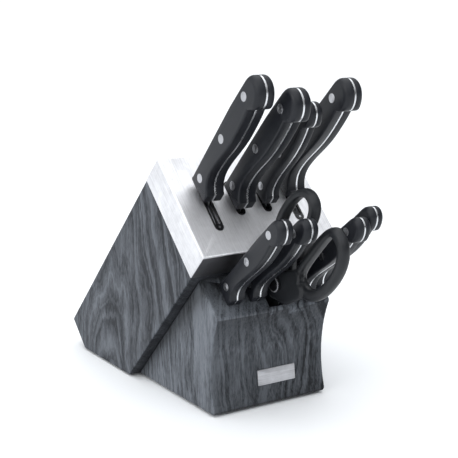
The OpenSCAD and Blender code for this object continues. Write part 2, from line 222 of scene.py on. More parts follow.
def new_object(name, mesh, place=Matrix.Identity(4), soft=SOFT_EDGE):
    """A linked object from a bmesh, smooth but for its edges sharper than `soft`."""
    bmesh.ops.remove_doubles(mesh, verts=mesh.verts, dist=0.1 * WELD)
    bmesh.ops.recalc_face_normals(mesh, faces=mesh.faces)
    mesh.transform(place)
    data = bpy.data.meshes.new(name)
    mesh.to_mesh(data)
    mesh.free()
    data.shade_smooth()
    data.set_sharp_from_angle(angle=soft)
    piece = bpy.data.objects.new(name, data)
    bpy.context.scene.collection.objects.link(piece)
    return piece


def stack(mesh, levels):
    """Joins closed loops of 3-D points, one after the other, and caps both ends."""
    rings = [[mesh.verts.new(p) for p in level] for level in levels]
    count = len(rings[0])
    for low, high in zip(rings, rings[1:]):
        for i in range(count):
            j = (i + 1) % count
            mesh.faces.new((low[i], low[j], high[j], high[i]))
    mesh.faces.new(rings[0][::-1])
    mesh.faces.new(rings[-1])


def slab_levels(loop, x0, x1, round0, round1, steps=4):
    """Loops of a plate from x0 to x1 whose rims are rounded by round0 and round1."""
    quarter = [math.pi / 2 * k / steps for k in range(steps + 1)]
    rims = [(x0, round0, a) for a in reversed(quarter)] + [(x1, -round1, a) for a in quarter]
    levels = []
    for x, rounding, a in rims:
        ring = inset(loop, abs(rounding) * (1 - math.cos(a)))
        level = x + rounding * (1 - math.sin(a))
        levels.append([Vector((level, p.x, p.y)) for p in ring])
    return levels


def lathe(mesh, profile, place, count=48):
    """A solid of revolution about X. profile is (x, radius) from one end to the other."""
    rings = []
    for x, r in profile:
        rings.append([
            place @ Vector((x, r * math.cos(t), r * math.sin(t)))
            for t in (2 * math.pi * k / count for k in range(count))
        ])
    stack(mesh, rings)


def cut_to(piece, node):
    """Keeps what a piece has in common with a CAD node, so its holes carry over."""
    cutter = bpy.data.objects.new(node + "_cutter", frame["nodes"][node].data.copy())
    bpy.context.scene.collection.objects.link(cutter)
    clean = bmesh.new()
    clean.from_mesh(cutter.data)
    bmesh.ops.remove_doubles(clean, verts=clean.verts, dist=WELD)
    clean.to_mesh(cutter.data)
    clean.free()
    cutter.data.materials.clear()
    combine(piece, cutter, "INTERSECT")
    flat = piece.modifiers.new("flat", "WEIGHTED_NORMAL")
    flat.keep_sharp = True


def combine(piece, cutter, operation):
    """Applies a boolean with another object and removes that object."""
    change = piece.modifiers.new("cut", "BOOLEAN")
    change.operation = operation
    change.solver = "EXACT"
    change.object = cutter
    apply_modifiers(piece)
    bpy.data.objects.remove(cutter)


def apply_modifiers(piece, soft=SOFT_EDGE):
    """Turns a piece's modifiers into its mesh."""
    graph = bpy.context.evaluated_depsgraph_get()
    data = bpy.data.meshes.new_from_object(piece.evaluated_get(graph))
    piece.modifiers.clear()
    piece.data = data
    data.shade_smooth()
    data.set_sharp_from_angle(angle=soft)


def settle(piece, body, material, node):
    """Gives a piece its material or materials and its body, and hides the CAD node it stands
    for.
    """
    for each in material if isinstance(material, list) else [material]:
        piece.data.materials.append(each)
    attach(piece, body)
    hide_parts(node)


def dress(node, material, bevel):
    """Keeps a CAD node and gives it a material and softened edges."""
    piece = frame["nodes"][node]
    piece.data.materials.clear()
    piece.data.materials.append(material)
    edge = piece.modifiers.new("edges", "BEVEL")
    edge.width = bevel
    edge.segments = 2
    edge.limit_method = "ANGLE"
    edge.angle_limit = math.radians(40)


# ---- Materials ---------------------------------------------------------------

def add_node(tree, kind, inputs=None, **settings):
    """A shader node with its settings, and its inputs linked or given a value."""
    made = tree.nodes.new("ShaderNode" + kind)
    for key, value in settings.items():
        setattr(made, key, value)
    for key, value in (inputs or {}).items():
        if isinstance(value, bpy.types.NodeSocket):
            tree.links.new(value, made.inputs[key])
        else:
            made.inputs[key].default_value = value
    return made


class Shader:
    """A principled material with short calls for its nodes."""

    def __init__(self, name, **sockets):
        self.material = bpy.data.materials.new(name)
        self.material.use_nodes = True
        self.tree = self.material.node_tree
        self.out = self.tree.nodes["Principled BSDF"]
        for key, value in sockets.items():
            self.out.inputs[key.replace("_", " ")].default_value = value

    def node(self, kind, inputs=None, **settings):
        return add_node(self.tree, kind, inputs, **settings)

    def coordinates(self, kind="Object"):
        return self.node("TexCoord").outputs[kind]

    def math(self, operation, a, b=0.0, c=0.0, clamp=False):
        made = self.node("Math", {0: a, 1: b, 2: c}, operation=operation, use_clamp=clamp)
        return made.outputs[0]

    def along(self, vector, direction):
        """How far a vector reaches along a direction."""
        made = self.node("VectorMath", {0: vector, 1: direction}, operation="DOT_PRODUCT")
        return made.outputs["Value"]

    def turned(self, turn, scale):
        """The frame's coordinates at rest, turned back about X by `turn` and scaled."""
        back = self.node("Mapping", {"Vector": self.coordinates(), "Rotation": (-turn, 0, 0)})
        return self.node("Mapping", {"Vector": back.outputs[0], "Scale": scale}).outputs[0]

    def noise(self, vector, scale, detail, rough, warp=0.0):
        return self.node(
            "TexNoise",
            {"Vector": vector, "Scale": scale, "Detail": detail, "Roughness": rough,
             "Distortion": warp},
        ).outputs[0]

    def ramp(self, factor, stops):
        """A grey that runs through stops of (place, brightness)."""
        made = self.node("ValToRGB", {0: factor})
        elements = made.color_ramp.elements
        while len(elements) < len(stops):
            elements.new(0.5)
        for element, (at, value) in zip(elements, stops):
            element.position = at
            element.color = (value, value, value, 1)
        return made.outputs[0]

    def span(self, factor, low, high, to_low=0.0, to_high=1.0):
        """A value carried over from one range to another, and held at its ends."""
        return self.node(
            "MapRange",
            {"Value": factor, "From Min": low, "From Max": high,
             "To Min": to_low, "To Max": to_high},
        ).outputs[0]

    def mix(self, factor, a, b, blend="MIX"):
        """Two colours mixed by a factor, or the first one tinted by the second."""
        made = self.node("Mix", {0: factor}, data_type="RGBA", blend_type=blend)
        for index, value in ((6, a), (7, b)):
            if isinstance(value, bpy.types.NodeSocket):
                self.tree.links.new(value, made.inputs[index])
            else:
                made.inputs[index].default_value = (*value, 1)
        return made.outputs[2]

    def set(self, socket, value):
        self.tree.links.new(value, self.out.inputs[socket])

    def bump(self, height, strength, distance):
        made = self.node(
            "Bump", {"Height": height, "Strength": strength, "Distance": distance}
        )
        self.set("Normal", made.outputs[0])


def charcoal_wood(
    name, pith, lean, light, dark, wave=1.0, heart=0.0, density=1.0, arch=1.0, corner=None
):
    """Stained wood with upright grain. The log's middle stands at `pith` (x, y) on the
    table and leans by `lean` in x, so the sides cut its rings into tall arches. `wave`
    bends the rings, `density` packs them and `arch` lifts them over the upright streaks.
    `heart` darkens the wood near the middle. The faces that look down along the seam get
    painted shade, darkened for the shade in the gap between the blocks. `corner` (down the
    slope and out along it) is where painted shade darkens the wood beside the seam, if given."""
    s = Shader(name, Specular_IOR_Level=0.3)
    place = s.coordinates()
    normal = s.coordinates("Normal")

    def noise(along, scale, detail, rough):
        """Noise drawn out along the grain: the smaller `along`, the longer its streaks."""
        drawn = s.node("Mapping", {"Vector": place, "Scale": (1, 1, along)}).outputs[0]
        return s.noise(drawn, scale, detail, rough)

    parts = s.node("SeparateXYZ", {0: place})
    across = s.math("SUBTRACT", parts.outputs[0], pith[0])
    across = s.math("MULTIPLY_ADD", parts.outputs[2], lean, across)
    depth = s.math("SUBTRACT", parts.outputs[1], pith[1])
    flat = s.node("CombineXYZ", {0: across, 1: depth}).outputs[0]
    centre = s.node("VectorMath", {0: flat}, operation="LENGTH").outputs["Value"]
    radius = centre
    bends = [
        # the noise and how far it bends the rings, in metres
        (noise(0.5, 14, 2, 0.5), 0.045 * wave),
        (noise(0.4, 60, 3, 0.6), 0.012 * wave),
        (noise(0.35, 400, 2, 0.6), 0.0018),
    ]
    for bend, reach in bends:
        radius = s.math("MULTIPLY_ADD", bend, reach, radius)
    rings = s.node(
        "TexNoise",
        {"W": radius, "Scale": 260.0 * density, "Detail": 3.0, "Roughness": 0.65},
        noise_dimensions="1D",
    ).outputs[0]
    tone = s.span(rings, 0.34, 0.66, 0.25 - 0.25 * arch, 0.25 + 0.25 * arch)
    year = s.math("FRACT", s.math("MULTIPLY", radius, 170.0 * density))
    veins = s.ramp(year, [(0.0, 0.35), (0.2, 1.0), (0.65, 0.8), (0.88, 0.0), (1.0, 0.35)])
    tone = s.math("MULTIPLY_ADD", veins, 0.16, tone)
    upright = 2 - arch
    layers = [
        # the noise and the tones that it runs between
        (noise(0.05, 300, 3, 0.6), -0.12 * upright, 0.18 * upright),
        (noise(0.14 * arch**2, 1000, 3, 0.7), -0.24 * upright, 0.24 * upright),
        (noise(0.4, 95, 3, 0.6), -0.14, 0.14),
        (noise(0.5, 24, 2, 0.5), -0.12, 0.16),
    ]
    for layer, low, high in layers:
        tone = s.math("ADD", tone, s.span(layer, 0.3, 0.7, low, high))
    tone = s.math("ADD", tone, s.span(centre, 0.07, 0.16, -heart, heart))
    tone = s.math("MULTIPLY_ADD", tone, 1.35, -0.17, clamp=True)
    stain_and_shade = s.mix(tone, dark, light)
    # painted shade beside the seam, at the mouth and towards the foot of the front face is
    # multiplied into the stained colour
    if corner:
        stain_and_shade = s.mix(1.0, stain_and_shade, painted_seam_shade(s, place, normal, corner), "MULTIPLY")
    # painted shade: faces that look down the slope along the seam are darkened towards the
    # wood's dark tone, for the shade in the gap between the blocks
    seam = s.span(s.along(normal, DOWN_SLOPE), 0.8, 0.95, 0.0, 0.75)
    s.set("Base Color", s.mix(seam, stain_and_shade, tuple(c * 0.8 for c in dark)))
    s.set("Roughness", s.span(tone, 0.0, 1.0, 0.75, 0.52))
    s.bump(tone, 0.4, 0.0004)
    return s.material


def painted_seam_shade(s, place, normal, corner):
    """Painted shade, as the share of its brightness that the wood keeps: little on the sides and
    the mouth where the seam meets them at `corner`, where the seam, the cap and the handles
    shade them, and less towards the foot of the front face."""
    side_reach, mouth_reach, foot_reach = 0.016, 0.036, 0.09
    down = s.math("SUBTRACT", s.along(place, DOWN_SLOPE), corner[0])
    below = s.math("SUBTRACT", corner[1], s.along(place, OUT_OF_SLOPE))
    beside = s.math("MULTIPLY_ADD", below, 0.07, s.math("SUBTRACT", down, 0.010))
    side = s.ramp(s.span(beside, 0.0, side_reach), [(0.0, 0.36), (0.4, 0.7), (1.0, 1.0)])
    mouth = s.ramp(s.span(down, 0.0, mouth_reach), [(0.0, 0.25), (0.5, 0.5), (1.0, 0.95)])
    foot = s.span(s.along(place, (0, 0, 1)), 0.0, foot_reach, 0.50)
    upward = s.span(s.along(normal, OUT_OF_SLOPE), 0.8, 0.95)
    forward = s.span(s.along(normal, (0, -1, 0)), 0.7, 0.9)
    return s.mix(forward, s.mix(upward, side, mouth), foot)


def brushed_steel(name, turn, along, base, rough, grain=1.0, lip_shade=0.0, mottle=1.0):
    """Steel brushed along one axis of a frame turned about X. `along` is 0, 1 or 2.
    `lip_shade` darkens the faces that look down the slope towards near black, a painted shade
    for the dark reflection that they show, and `mottle` clouds the brushed surface."""
    s = Shader(name, Metallic=1.0)

    def brushed(across, lengthways, detail, roughness):
        """Noise with fine steps across the brushing and drawn-out ones along it."""
        scale = [across, across, across]
        scale[along] = lengthways
        return s.noise(s.turned(turn, scale), 1.0, detail, roughness)

    even = s.turned(turn, (1, 1, 1))
    lines = brushed(1400.0, 45.0, 3, 0.65)
    tone = s.math("MULTIPLY_ADD", lines, 0.38, 0.25 * (1 - mottle))
    layers = [
        # the noise and its weight
        (brushed(330.0, 16.0, 2, 0.5), 0.12),
        (s.noise(even, 45, 3, 0.5), 0.27 * mottle),
        (s.noise(even, 150, 3, 0.6, 0.5), 0.23 * mottle),
    ]
    for layer, weight in layers:
        tone = s.math("MULTIPLY_ADD", layer, weight, tone)
    deep = tuple(c * (1 - 0.22 * grain) for c in base)
    pale = tuple(min(1.0, c * (1 + 0.1 * grain)) for c in base)
    shine = s.span(tone, 0.38, 0.62)
    finish_and_shade = s.mix(shine, deep, pale)
    if lip_shade:
        # painted shade: faces that look down the slope are darkened towards near black, standing
        # in for the dark reflection of the wood below them
        down = s.along(s.coordinates("Normal"), DOWN_SLOPE)
        finish_and_shade = s.mix(s.span(down, 0.9, 0.99, 0.0, lip_shade), finish_and_shade, (0.12, 0.12, 0.13))
    s.set("Base Color", finish_and_shade)
    s.set("Roughness", s.span(shine, 0.0, 1.0, rough + 0.1 * mottle, rough - 0.06 * mottle))
    s.bump(lines, 0.12 * grain * mottle, 0.00012)
    return s.material


def moulded(name, base, rough, speck=2600.0, depth=0.00004, coat=0.0, shine=0.3):
    """Moulded plastic or rubber: fine stipple, faint cloudiness and handling sheen."""
    s = Shader(name, Specular_IOR_Level=shine, Coat_Weight=coat, Coat_Roughness=0.15)
    place = s.coordinates()
    stipple = s.noise(place, speck, 3, 0.6)
    smear = s.noise(place, 70, 3, 0.55, 0.6)
    pale = tuple(c * 1.35 + 0.002 for c in base)
    s.set("Base Color", s.mix(s.span(smear, 0.3, 0.7), base, pale))
    mixed = s.math("MULTIPLY_ADD", smear, 0.75, s.math("MULTIPLY", stipple, 0.25))
    s.set("Roughness", s.span(mixed, 0.3, 0.7, rough - 0.07, rough + 0.08))
    s.bump(stipple, 0.3, depth)
    return s.material


def turned_metal(name, base, rough):
    """Rivet heads and screws: polished metal with fine uneven scratches."""
    s = Shader(name, Metallic=1.0)
    place = s.coordinates()
    scratch = s.noise(place, 2300, 4, 0.7, 1.5)
    stain = s.noise(place, 190, 2, 0.5)
    s.set("Base Color", s.mix(stain, tuple(c * 0.82 for c in base), base))
    s.set("Roughness", s.span(scratch, 0.3, 0.7, rough - 0.05, rough + 0.12))
    s.bump(scratch, 0.2, 0.00003)
    return s.material


LEAN = SLOPE.to_euler().x
MOUTH_CORNER = in_frame("front_block_core_rear", SLOPE)[1]
WOOD_REAR = charcoal_wood(
    "charcoal_wood_rear", pith=(-0.085, 0.075), lean=0.30, light=(0.110, 0.121, 0.139),
    dark=(0.021, 0.023, 0.028), wave=1.2, density=0.45, arch=1.1,
)
WOOD_FRONT = charcoal_wood(
    "charcoal_wood_front", pith=(0.10, -0.17), lean=0.08, light=(0.138, 0.151, 0.172),
    dark=(0.013, 0.015, 0.019), wave=0.55, heart=0.24,
    # where painted shade darkens the wood beside the seam and the mouth
    corner=(-MOUTH_CORNER.y, MOUTH_CORNER.z),
)
WOOD_DOWEL = charcoal_wood(
    "beech_dowel", pith=(0.3, 0.3), lean=0.0, light=(0.55, 0.40, 0.25),
    dark=(0.38, 0.26, 0.15), wave=0.3,
)
CAP_STEEL = brushed_steel("cap_steel", LEAN, 1, (0.77, 0.77, 0.79), 0.47, 0.9, lip_shade=0.94)
TANG_STEEL = brushed_steel("tang_steel", LEAN, 1, (0.74, 0.75, 0.77), 0.26, 0.7)
BLADE_STEEL = brushed_steel(
    "blade_steel", LEAN, 1, (0.50, 0.51, 0.53), 0.30, 0.8, mottle=0.25
)
PLATE_STEEL = brushed_steel("plate_steel", 0.0, 0, (0.50, 0.50, 0.52), 0.36, 1.2)
STRIP_STEEL = brushed_steel("sharpener_steel", LEAN, 2, (0.55, 0.55, 0.57), 0.32)
RIVET_STEEL = turned_metal("rivet_steel", (0.47, 0.475, 0.495), 0.28)
SCREW_DARK = turned_metal("screw_dark", (0.05, 0.05, 0.055), 0.40)
SCREW_RIM_HIGHLIGHT = turned_metal("screw_rim_highlight", (0.38, 0.38, 0.40), 0.30)
HANDLE_BLACK = moulded("handle_black", (0.009, 0.010, 0.013), 0.38, shine=0.25)
SHEARS_BLACK = moulded("shears_black", (0.010, 0.011, 0.013), 0.40)
LINER_BLACK = moulded("liner_black", (0.006, 0.006, 0.007), 0.22, coat=0.3)
FOOT_RUBBER = moulded(
    "foot_rubber", (0.012, 0.012, 0.012), 0.75, speck=1500.0, depth=0.0001
)


# ---- Block -------------------------------------------------------------------

TENON_RUN = 30 * MM  # more than the tenon's height, which the CAD node then sets
REAR_ROUND = 1.0 * MM
REAR_RIM = 0.9 * MM
FRONT_ROUND = 3.0 * MM
FRONT_RIM = 2.6 * MM
FRONT_REACH = 12 * MM  # how far back the front block's corners are rounded
CAP_BEND = 1.5 * MM
PLATE_ROUND = 0.7 * MM
PLATE_RIM = 0.22 * MM
PLATE_END = 1.2 * MM  # corners this close in height are at the same end of the plate


def wood_block(name, node, loop, width, rim, material):
    """A rounded prism over the width that keeps the CAD node's pockets and bores."""
    mesh = bmesh.new()
    stack(mesh, slab_levels(loop, *width, rim, rim, steps=6))
    piece = new_object(name, mesh)
    cut_to(piece, node)
    settle(piece, "block", material, node)


def rear_wood():
    """The rear block, run on upwards so that its tenon under the cap stays."""
    low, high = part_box("rear_block")
    loop = side_outline("rear_block", Matrix.Identity(4))
    out = Vector(OUT_OF_SLOPE.yz)
    tops = sorted(loop, key=out.dot)[-2:]
    loop = [p + TENON_RUN * out if p in tops else p for p in loop]
    loop = filleted(loop, REAR_ROUND)
    wood_block("rear_wood", "rear_block", loop, (low.x, high.x), REAR_RIM, WOOD_REAR)


def front_wood():
    """The front block's glued slabs, all cut from one prism with soft front edges."""
    nodes = sorted(n for n in frame["nodes"] if n.startswith("front_block"))
    boxes = [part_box(n) for n in nodes]
    width = (min(b[0].x for b in boxes), max(b[1].x for b in boxes))
    outer = next(n for n, b in zip(nodes, boxes) if b[1].x == width[1])
    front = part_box(outer)[0].y + FRONT_REACH

    def rounding(point):
        return FRONT_ROUND if point.x < front else 0.0

    loop = filleted(side_outline(outer, Matrix.Identity(4)), rounding)
    for node in nodes:
        name = node.replace("front_block", "front_wood")
        wood_block(name, node, loop, width, FRONT_RIM, WOOD_FRONT)


def steel_cap():
    """The folded sheet, with soft bends round its top."""
    low, high = in_frame("steel_cap", SLOPE)
    mesh = bmesh.new()
    bmesh.ops.create_cube(mesh, size=1.0, matrix=(
        Matrix.Translation((low + high) / 2) @ Matrix.Diagonal((*(high - low), 1))))
    bends = [e for e in mesh.edges if all(v.co.z > high.z - WELD for v in e.verts)]
    bmesh.ops.bevel(
        mesh, geom=bends, offset=CAP_BEND, segments=5, affect="EDGES", profile=0.5
    )
    piece = new_object("steel_cap_sheet", mesh, SLOPE)
    cut_to(piece, "steel_cap")
    settle(piece, "block", CAP_STEEL, "steel_cap")


def label_plate():
    """A blank plate with soft corners, laid on the CAD plate's slope."""
    corners = [v.co for v in frame["nodes"]["label_plate"].data.vertices]
    low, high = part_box("label_plate")
    foot = min((c for c in corners if c.z < low.z + PLATE_END), key=lambda c: c.y)
    head = min((c for c in corners if c.z > high.z - PLATE_END), key=lambda c: c.y)
    turn = Matrix.Rotation(-math.atan2(head.y - foot.y, head.z - foot.z), 4, "X")
    near, far = in_frame("label_plate", turn)
    loop = [Vector(p) for p in
            ((near.x, near.z), (far.x, near.z), (far.x, far.z), (near.x, far.z))]
    mesh = bmesh.new()
    spin = Matrix.Rotation(-math.pi / 2, 4, "Z")
    loop = filleted(loop, PLATE_ROUND)
    levels = slab_levels(loop, -far.y, -near.y, 0.05 * MM, PLATE_RIM)
    stack(mesh, [[spin @ p for p in level] for level in levels])
    piece = new_object("blank_plate", mesh, turn)
    settle(piece, "block", PLATE_STEEL, "label_plate")


# ---- Knives ------------------------------------------------------------------

LARGE_KNIVES = ["chef_knife", "bread_knife", "santoku_knife"]
SMALL_KNIVES = ["utility_knife"] + [f"steak_knife_{i}" for i in range(1, 5)]
LARGE_RIM = 1.5 * MM
SMALL_RIM = 1.3 * MM
SCALE_RIM = 0.12 * MM  # where a scale meets the tang
TANG_SHARE = 0.75  # of the CAD tang's thickness, since the scales close in on it
TANG_INSET = 0.1 * MM
TANG_RIM = 0.15 * MM
BLADE_TOP = 1.5 * MM  # how far a blade runs up into its tang
DOME_START = 0.80  # where the butt's dome begins, as a share of the handle's length
DOME_RUN = 0.16
DOME_HEIGHT = 0.62  # as a share of a scale's thickness
FULL_GRIND = 7 * MM  # how far below the handle a blade has its full grind
EDGE_BEVEL = 1.3 * MM
TIP_THINNING = 0.45
RIVET_GAP = 8 * MM  # more than a rivet is wide and less than the way to the next one


def eased(t):
    """A step from 0 to 1 with soft ends."""
    t = min(1.0, max(0.0, t))
    return t * t * (3 - 2 * t)


def crossings(loop, height):
    """The lowest and highest y at which a loop crosses a height."""
    height = max(height, min(p.y for p in loop))
    found = []
    for p, q in zip(loop, loop[1:] + loop[:1]):
        if min(p.y, q.y) <= height <= max(p.y, q.y):
            t = 0.5 if p.y == q.y else (height - p.y) / (q.y - p.y)
            found += [p.x, q.x] if p.y == q.y else [p.x + (q.x - p.x) * t]
    return min(found), max(found)


def scale_levels(loop, inner, outer, rim, length, steps=6):
    """Loops of a handle scale: its outer edge is crisp but turns into a dome at the butt."""
    dome = DOME_HEIGHT * (outer - inner)
    rounds = [
        rim + (dome - rim) * eased((p.y / length - DOME_START) / DOME_RUN) for p in loop
    ]
    inner_rim = 3
    levels = slab_levels(loop, inner, outer, SCALE_RIM, 0.0, steps=2)[:inner_rim]
    for k in range(steps + 1):
        a = math.pi / 2 * k / steps
        moved = inset(loop, [r * (1 - math.cos(a)) for r in rounds])
        levels.append([
            Vector((outer - r * (1 - math.sin(a)), p.x, p.y)) for p, r in zip(moved, rounds)
        ])
    return levels


def spaced_heights(loop, top, least=0.12 * MM):
    """The heights of a loop's points below the top, none closer than a hair."""
    heights = [min(p.y for p in loop)]
    for z in sorted(p.y for p in loop if p.y < top - 0.1 * MM):
        if z - heights[-1] > least:
            heights.append(z)
    return heights + [top]


def ground_blade(mesh, loop, thick, top):
    """A blade that thins from its spine to its edge and towards its point."""
    heights = spaced_heights(loop, top)
    length = -heights[0]
    levels = []
    for z in heights:
        edge, spine = crossings(loop, z)
        depth = max(spine - edge, 0.25 * MM)
        below = max(0.0, -z)
        ground = min(1.0, below / FULL_GRIND)
        wide = thick / 2 * (1 - TIP_THINNING * (below / length) ** 2)
        bevel = max(0.5, 1 - EDGE_BEVEL / depth)
        section = [
            # the share of the depth down from the spine, and of the thickness there
            (0, 0.86), (0.03, 1.0),
            (0.45, 1 - 0.16 * ground), (bevel, 1 - 0.58 * ground), (1, 1 - 0.94 * ground),
        ]
        half = [(wide * share, spine - at * depth) for at, share in section]
        level = [Vector((x, y, z)) for x, y in half]
        level += [Vector((-x, y, z)) for x, y in reversed(half)]
        levels.append(level)
    stack(mesh, levels)


def rivet_centres(name, place):
    """(y, z, head radius) of each rivet and the height of their faces over the middle."""
    back = place.inverted()
    points = [back @ v.co for v in frame["nodes"][name + "_rivets"].data.vertices]
    groups = []
    for z, y in sorted((p.z, p.y) for p in points):
        if groups and z - groups[-1][-1][0] < RIVET_GAP:
            groups[-1].append((z, y))
        else:
            groups.append([(z, y)])
    result = []
    for group in groups:
        z0, z1 = group[0][0], group[-1][0]
        y0, y1 = min(y for _, y in group), max(y for _, y in group)
        result.append(((y0 + y1) / 2, (z0 + z1) / 2, (z1 - z0) / 2))
    return result, max(p.x for p in points)


def knife_grips(name, place, handle, inner, outer, rim):
    """The two scales of a handle, mirror images of each other."""
    levels = scale_levels(handle, inner, outer, rim, max(p.y for p in handle))
    for side, sign in (("left", -1), ("right", 1)):
        mesh = bmesh.new()
        stack(mesh, [[Vector((sign * p.x, p.y, p.z)) for p in level] for level in levels])
        piece = new_object(f"{name}_grip_{side}", mesh, place)
        settle(piece, name, HANDLE_BLACK, f"{name}_scale_{side}")


def knife_steel(name, place, handle, tang, thick):
    """The tang, a hair inside the scales' edge, and the blade below it, as one piece."""
    mesh = bmesh.new()
    edge = inset(handle, TANG_INSET)
    stack(mesh, slab_levels(edge, -tang, tang, TANG_RIM, TANG_RIM, steps=2))
    tang_faces = set(mesh.faces)
    blade = smoothed(side_outline(name + "_blade", place))
    ground_blade(mesh, blade, thick, BLADE_TOP)
    for face in mesh.faces:
        face.material_index = 0 if face in tang_faces else 1
    piece = new_object(name + "_steel", mesh, place, soft=math.radians(22))
    settle(piece, name, [TANG_STEEL, BLADE_STEEL], name + "_blade")


def knife_pins(name, place):
    """The rivets, each with a low domed head that a faint groove runs round."""
    centres, face = rivet_centres(name, place)
    mesh = bmesh.new()
    for y, z, r in centres:
        head = [(face - 1.2 * MM, 0.6 * r), (face - 1.0 * MM, r), (face - 0.04 * MM, r),
                (face + 0.04 * MM, r - 0.12 * MM), (face + 0.06 * MM, 0.72 * r),
                (face, 0.66 * r), (face + 0.01 * MM, 0.6 * r),
                (face + 0.08 * MM, 0.54 * r), (face + 0.14 * MM, 0.2 * r),
                (face + 0.14 * MM, 0.02 * r)]
        tail = [(-x, radius) for x, radius in reversed(head)]
        lathe(mesh, tail + head, Matrix.Translation((0, y, z)))
    piece = new_object(name + "_pins", mesh, place)
    settle(piece, name, RIVET_STEEL, name + "_rivets")


def knife(name, rim):
    """Scales, tang, blade and rivets of one knife, in place of its CAD nodes."""
    place = knife_frame(name)
    handle = smoothed(side_outline(name + "_scale_right", place))
    low, high = in_frame(name + "_scale_right", place)
    tang = TANG_SHARE * low.x
    knife_grips(name, place, handle, tang, high.x, rim)
    knife_steel(name, place, handle, tang, 2 * low.x)
    knife_pins(name, place)


# ---- Shears ------------------------------------------------------------------

SHEARS = Matrix.Translation(JOINTS["shears_pivot"]["pos_m"]) @ SLOPE
HALVES = {
    # outer loop, inner loop, stem end, web knee and web end, in millimetres, as the CAD
    # draws them: a loop is middle y and z, reach inward and outward, half height and
    # squareness, and an end is y, z and radius
    "rear": (
        Matrix.Identity(4),
        (22, 47.5, 16, 17.5, 30, 2.4), (22.5, 50, 9, 10, 20.5, 2.4),
        (15, 25, 6), (9, 0, 5), (13, 17, 5),
    ),
    "front": (
        Matrix.Rotation(math.pi, 4, "Z"),
        (16, 49, 13.5, 22, 35, 3), (16.5, 50, 7, 13.5, 26, 4.5),
        (9.5, 22, 6), (12.5, 1, 6), (18, 17.5, 6),
    ),
}
HUB_RADIUS = 8.5 * MM
HEEL_RADIUS = 7 * MM
HEEL_DROP = 8.5 * MM
HUB_THICK = 6 * MM
HUB_RIM = 1.6 * MM
HALF_GAP = 0.5 * MM  # from the plane where the blades meet to a handle's flat side
RING_THICK = 9 * MM
RING_SQUARE = 2.2  # how square a ring's outward side is, where 2 is an ellipse
OUTER_WALL = 2.3  # how square the outer and the inner half of a ring's section are
INNER_WALL = 3.2
BLADE_ROOT = -11 * MM  # where the blade's ground part begins, below the pivot
BLADE_THINNING = 0.35
SCREW_HEAD = 2.6 * MM  # how thick it is
SCREW_SHANK = 2.5 * MM  # its radius
SCREW_NOTCHES = 24


def rounded_power(value, squareness):
    """A cosine or sine flattened so that a circle turns into a rounded square."""
    return math.copysign(abs(value) ** (2 / squareness), value)


def ring_point(loop, angle):
    """A point of a finger ring's loop; its inward side may be squarer."""
    y, z, inward, outward, half, inward_square = loop
    c, s = math.cos(angle), math.sin(angle)
    reach, power = (inward, inward_square) if c < 0 else (outward, RING_SQUARE)
    scale = (abs(c) ** power + abs(s) ** power) ** (-1 / power)
    return Vector((0, y + reach * c * scale, z + half * s * scale)) * MM


def finger_ring(mesh, outer, inner):
    """A closed tube round the ring, rounder outside than on its inner wall."""
    around, across = 128, 28
    rings = []
    for i in range(around):
        a = 2 * math.pi * i / around
        far, near = ring_point(outer, a), ring_point(inner, a)
        middle, reach = (far + near) / 2, (far - near) / 2
        section = []
        for k in range(across):
            t = 2 * math.pi * k / across
            square = OUTER_WALL if math.cos(t) > 0 else INNER_WALL
            side = rounded_power(math.cos(t), square)
            rise = rounded_power(math.sin(t), square) * RING_THICK / 2
            section.append(mesh.verts.new(middle + reach * side + Vector((rise, 0, 0))))
        rings.append(section)
    for low, high in zip(rings, rings[1:] + rings[:1]):
        for k in range(across):
            j = (k + 1) % across
            mesh.faces.new((low[k], low[j], high[j], high[k]))


def round_bar(start, end, steps=20):
    """The outline of a bar with round ends, each a (y, z) point and a radius."""
    (p0, r0), (p1, r1) = start, end
    way = p1 - p0
    heading = math.atan2(way.y, way.x)
    lean = math.acos((r0 - r1) / way.length)
    far_end = arc(p1, r1, heading - lean, 2 * lean, steps)
    return far_end + arc(p0, r0, heading + lean, 2 * (math.pi - lean), steps)


def shears_handle(half):
    """A moulded handle: ring, stem and hub run into each other."""
    turn, outer, inner, *ends = HALVES[half]
    node = f"shears_{half}_handle"
    mesh = bmesh.new()
    finger_ring(mesh, outer, inner)
    hub = (Vector((0, 0)), HUB_RADIUS)
    heel = (Vector((0, -HEEL_DROP)), HEEL_RADIUS)
    stem, knee, web = [(Vector(end[:2]) * MM, end[2] * MM) for end in ends]
    for start, end in ((hub, stem), (hub, heel), (heel, knee), (knee, web)):
        loop = round_bar(start, end)
        stack(mesh, slab_levels(loop, HALF_GAP, HUB_THICK - 0.1 * MM, 0.2 * MM, HUB_RIM))
    piece = new_object(f"shears_{half}_grip", mesh, SHEARS @ turn)
    fuse = piece.modifiers.new("fuse", "REMESH")
    fuse.mode = "VOXEL"
    fuse.voxel_size = 0.5 * MM
    melt = piece.modifiers.new("melt", "SMOOTH")
    melt.factor = 0.5
    melt.iterations = 12
    apply_modifiers(piece, soft=math.radians(60))
    settle(piece, f"shears_{half}_half", SHEARS_BLACK, node)


def clipped(loop, height):
    """The part of a loop above a height."""
    kept = []
    for p, q in zip(loop, loop[1:] + loop[:1]):
        if p.y >= height:
            kept.append(p)
        if (p.y >= height) != (q.y >= height):
            kept.append(p.lerp(q, (height - p.y) / (q.y - p.y)))
    return kept


